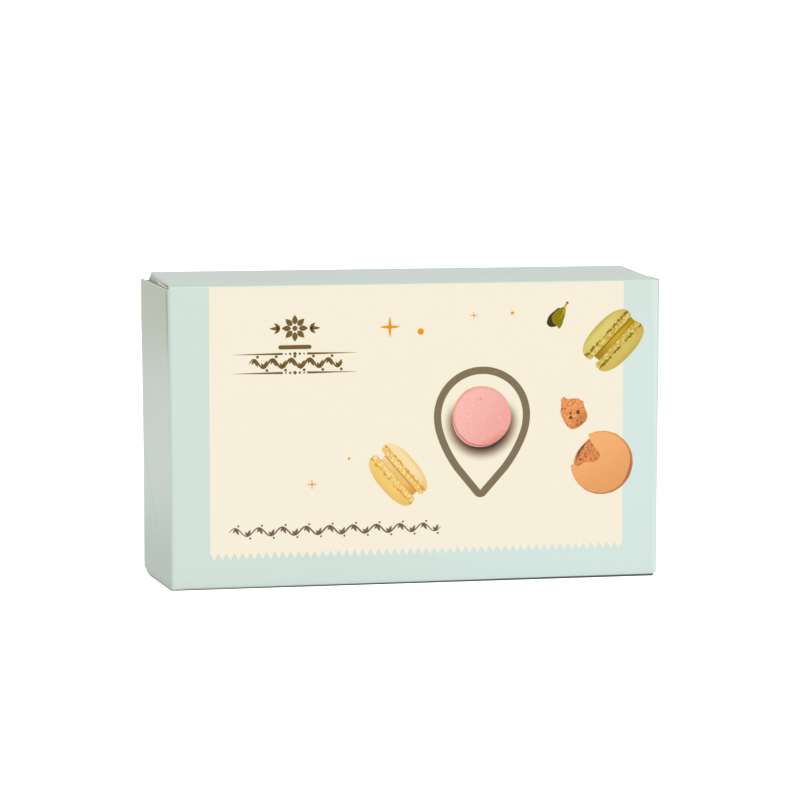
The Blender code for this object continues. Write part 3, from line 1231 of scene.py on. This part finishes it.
def rosette(centre):
    """A flower of eight petals between two sprays of leaves."""
    pieces = [patch(ring(1.05, 20), ON_STEM, centre)]
    for degrees in range(0, 360, 45):
        root = around(centre, 1.5, math.radians(degrees))
        pieces.append(patch(leaf_outline(3.9, 2.3), ON_CREAM, root, degrees))
    for side in (-1, 1):
        root = (centre[0] + side * 6.0, centre[1])
        for degrees, size in ((0, 4.4), (42.97, 3.2), (-42.97, 3.2)):
            pieces.append(patch(leaf_outline(size, 1.35), ON_CREAM, root,
                                degrees if side > 0 else 180 - degrees))
    return pieces


def brown_ornament():
    """The rosette, the bar, four thin rules, two rows of dots and the short vine."""
    pieces = rosette((ORNAMENT_X, ROSETTE_Z))
    left, right, z, thick = BAR
    end = [around((left + thick / 2, z), thick / 2, angle)
           for angle in spaced(QUARTER, 3 * QUARTER, 8)]
    opposite = [(left + right - x, 2 * z - y) for x, y in end]
    pieces.append(patch(end + opposite, ON_CREAM))
    for z in RULE_HEIGHTS:
        for side in (-1, 1):
            path = [(ORNAMENT_X + side * reach, z) for reach in spaced(RULE_ROOT, RULE_TIP, 12)]
            outline = stroke(path, lambda share: RULE_THICK * (1.02 - share) ** 0.85)
            pieces.append(patch(outline, ON_CREAM))
        for x, radius in ROW_OF_DOTS:
            pieces.append(patch(ring(radius, 20), ON_CREAM, (ORNAMENT_X + x, z)))
    return join_up(pieces + vine(SHORT_VINE, 5, 3.7, 0.95, 3.3))


def gold_stars():
    pieces = [patch(star_outline(reach, waist), ON_CREAM, centre)
              for centre, reach, waist in STARS]
    pieces += [patch(ring(radius, 24), ON_CREAM, centre) for centre, radius in SPECKS]
    return join_up(pieces)


def print_shapes():
    """Every printed shape on the front panel."""
    shapes = []

    def add(name, piece, finish):
        piece.name = name
        dress(piece, finish)
        shapes.append(piece)

    add("cream_field", cream_field(), cream_print())
    add("drop_outline", band(drop_outline(DROP_STROKE), drop_outline(0.0), ON_CREAM),
        plain_print("taupe_ink", (132, 117, 92)))
    pink_macaron(add)
    yellow_tones = ((249, 227, 174), (241, 203, 110), (230, 180, 92),
                    (251, 224, 162), (237, 189, 92), (218, 150, 54))
    green_tones = ((226, 208, 122), (212, 190, 100), (194, 163, 68),
                   (235, 210, 134), (200, 168, 60), (116, 98, 24))
    side_macaron(add, "yellow", YELLOW, 12.7, 8.6, (-9.4, 10.4),
                 shell_finish("yellow_shell", YELLOW, yellow_tones, (0.6, 0.0)),
                 filling_finish("yellow_filling", YELLOW, (248, 220, 164), (243, 202, 124),
                                (214, 156, 82), (202, 138, 62)))
    side_macaron(add, "green", GREEN, 12.75, 9.2, (-10.0, 11.8),
                 shell_finish("green_shell", GREEN, green_tones, (0.5, 0.25)),
                 filling_finish("green_filling", GREEN, (168, 134, 52), (210, 176, 54),
                                (190, 150, 28), (132, 104, 26)))
    bitten_macaron(add)
    broken_crumb(add)
    printed_leaf(add)
    add("brown_ornament", brown_ornament(), plain_print("brown_ink", (122, 96, 56), 0.08))
    add("long_vine", join_up(vine(LONG_VINE, 9, 3.4, 0.7, 2.9)),
        plain_print("brown_grey_ink", (126, 106, 76), 0.08))
    add("gold_stars", gold_stars(), plain_print("gold_ink", (240, 156, 18), 0.05, specular=0.04))
    return shapes


def grey(level):
    return level, level, level, 1.0


# How bright the surround and the floor are for the camera, for soft light and in
# reflections; the reflected floor is dark close by and turns dim and warm far off
SURROUND_SEEN = 1.0
SURROUND_LIGHT = 0.6
SURROUND_MIRRORED = 0.93
FLOOR_SEEN = grey(1.0)
FLOOR_PAPER = grey(0.88)
FLOOR_GLOW = grey(0.84)
FLOOR_CONTACT = grey(0.03)
FLOOR_NEAR = grey(0.53)
FLOOR_MIDDLE = grey(0.95)
FLOOR_FAR = (0.5, 0.4, 0.16, 1.0)

# In metres out from the carton's foot: where the shade under it ends, as light and as the
# camera sees it, and where the reflected floor turns from near to middle and to far
CONTACT = (0.0002, 0.0016)
SEEN_CONTACT = (-0.0009, -0.0006)
NEAR_FLOOR = (0.02, 0.28)
FAR_FLOOR = (0.75, 1.0)
FLOOR_SIZE = 40
KEY_STRENGTH = 1.5
KEY_WIDTH = math.radians(50)
KEY_FROM = (0.05, -1.0, 0.16)

# The camera, from the photograph's vanishing lines
YAW = math.radians(11.63)
PITCH = math.radians(6.533)
TARGET_ACROSS = 93.2 * MM   # from the carton's left edge, on the front panel
TARGET_UP = 74.8 * MM
CAMERA_DISTANCE = 1.6937
FOCAL_LENGTH = 189.55
SENSOR_WIDTH = 36


def surround():
    """White all round the carton."""
    world = bpy.data.worlds.new("surround")
    bpy.context.scene.world = world
    world.use_nodes = True
    sky = Nodes(world.node_tree)
    light = SURROUND_LIGHT
    for kind, seen in (("Glossy", SURROUND_MIRRORED), ("Camera", SURROUND_SEEN)):
        light = sky.node("ShaderNodeMapRange", None, {
            "Value": sky.ray(kind), "To Min": light, "To Max": seen})
    background = world.node_tree.nodes["Background"]
    sky.feed(background.inputs["Strength"], light)
    sky.feed(background.inputs["Color"], grey(1.0))


def floor_paper():
    """Pale lit paper that also glows, with painted shade where the carton stands on it, and in
    reflections a painted floor that is dark close by and dim and warm far off.
    """
    paper = Finish("floor_paper", roughness=0.9)
    x, y, _ = paper.parts()
    left = LEFT - x - (y - FRONT) * math.tan(SWING)
    deep = abs(y) - (BACK - FRONT) / 2
    beside = paper.most(paper.most(left, x - RIGHT), 0.0)
    reach = paper.length(beside, paper.most(deep, 0.0))
    mirrored = paper.mix(paper.rise(reach, *NEAR_FLOOR), FLOOR_NEAR, FLOOR_MIDDLE)
    mirrored = paper.mix(paper.rise(reach, *FAR_FLOOR), mirrored, FLOOR_FAR)
    glow = paper.mix(paper.rise(reach, *CONTACT), FLOOR_CONTACT, FLOOR_GLOW)
    beyond = paper.most(paper.most(left - 2 * END_FOOT, x - RIGHT), deep)
    beyond = paper.most(beyond, y - FRONT - CORNER_CUT.x - paper.rise(x, -0.05, 0.0))
    bare = paper.rise(beyond, *SEEN_CONTACT)
    seen = paper.ray("Camera")
    glow = paper.mix(seen, paper.mix(paper.ray("Glossy"), glow, mirrored),
                     paper.mix(bare, FLOOR_CONTACT, FLOOR_SEEN))
    paper.give(Base_Color=paper.mix(seen * bare, grey(0.0), FLOOR_PAPER),
               Emission_Color=glow, Emission_Strength=1.0)
    return paper


def place_in_scene(name, data):
    """A light or camera of this name in the scene."""
    item = bpy.data.objects.new(name, data)
    bpy.context.scene.collection.objects.link(item)
    return item


def studio():
    """Pale lit floor, white surround and one soft key light from the front."""
    bpy.context.scene.view_settings.view_transform = "Standard"
    surround()
    floor = sheet((0, 0, 0), (FLOOR_SIZE, FLOOR_SIZE), (0, 0, 0))
    floor.name = "floor"
    dress(floor, floor_paper())
    sun = bpy.data.lights.new("key", "SUN")
    sun.energy = KEY_STRENGTH
    sun.angle = KEY_WIDTH
    key = place_in_scene("key", sun)
    key.rotation_euler = Vector(KEY_FROM).to_track_quat("Z", "Y").to_euler()


def camera():
    aim = Vector((math.sin(YAW) * math.cos(PITCH), math.cos(YAW) * math.cos(PITCH),
                  -math.sin(PITCH)))
    lens = bpy.data.cameras.new("camera")
    lens.lens = FOCAL_LENGTH
    lens.sensor_width = SENSOR_WIDTH
    eye = place_in_scene("camera", lens)
    target = Vector((LEFT + TARGET_ACROSS, FRONT, TARGET_UP))
    eye.location = target - aim * CAMERA_DISTANCE
    eye.rotation_euler = aim.to_track_quat("-Z", "Y").to_euler()
    bpy.context.scene.camera = eye


def main():
    camera()
    studio()
    board = folded_board()
    belong(board)
    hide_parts("carton")
    for piece in print_shapes():
        belong(piece)


main()
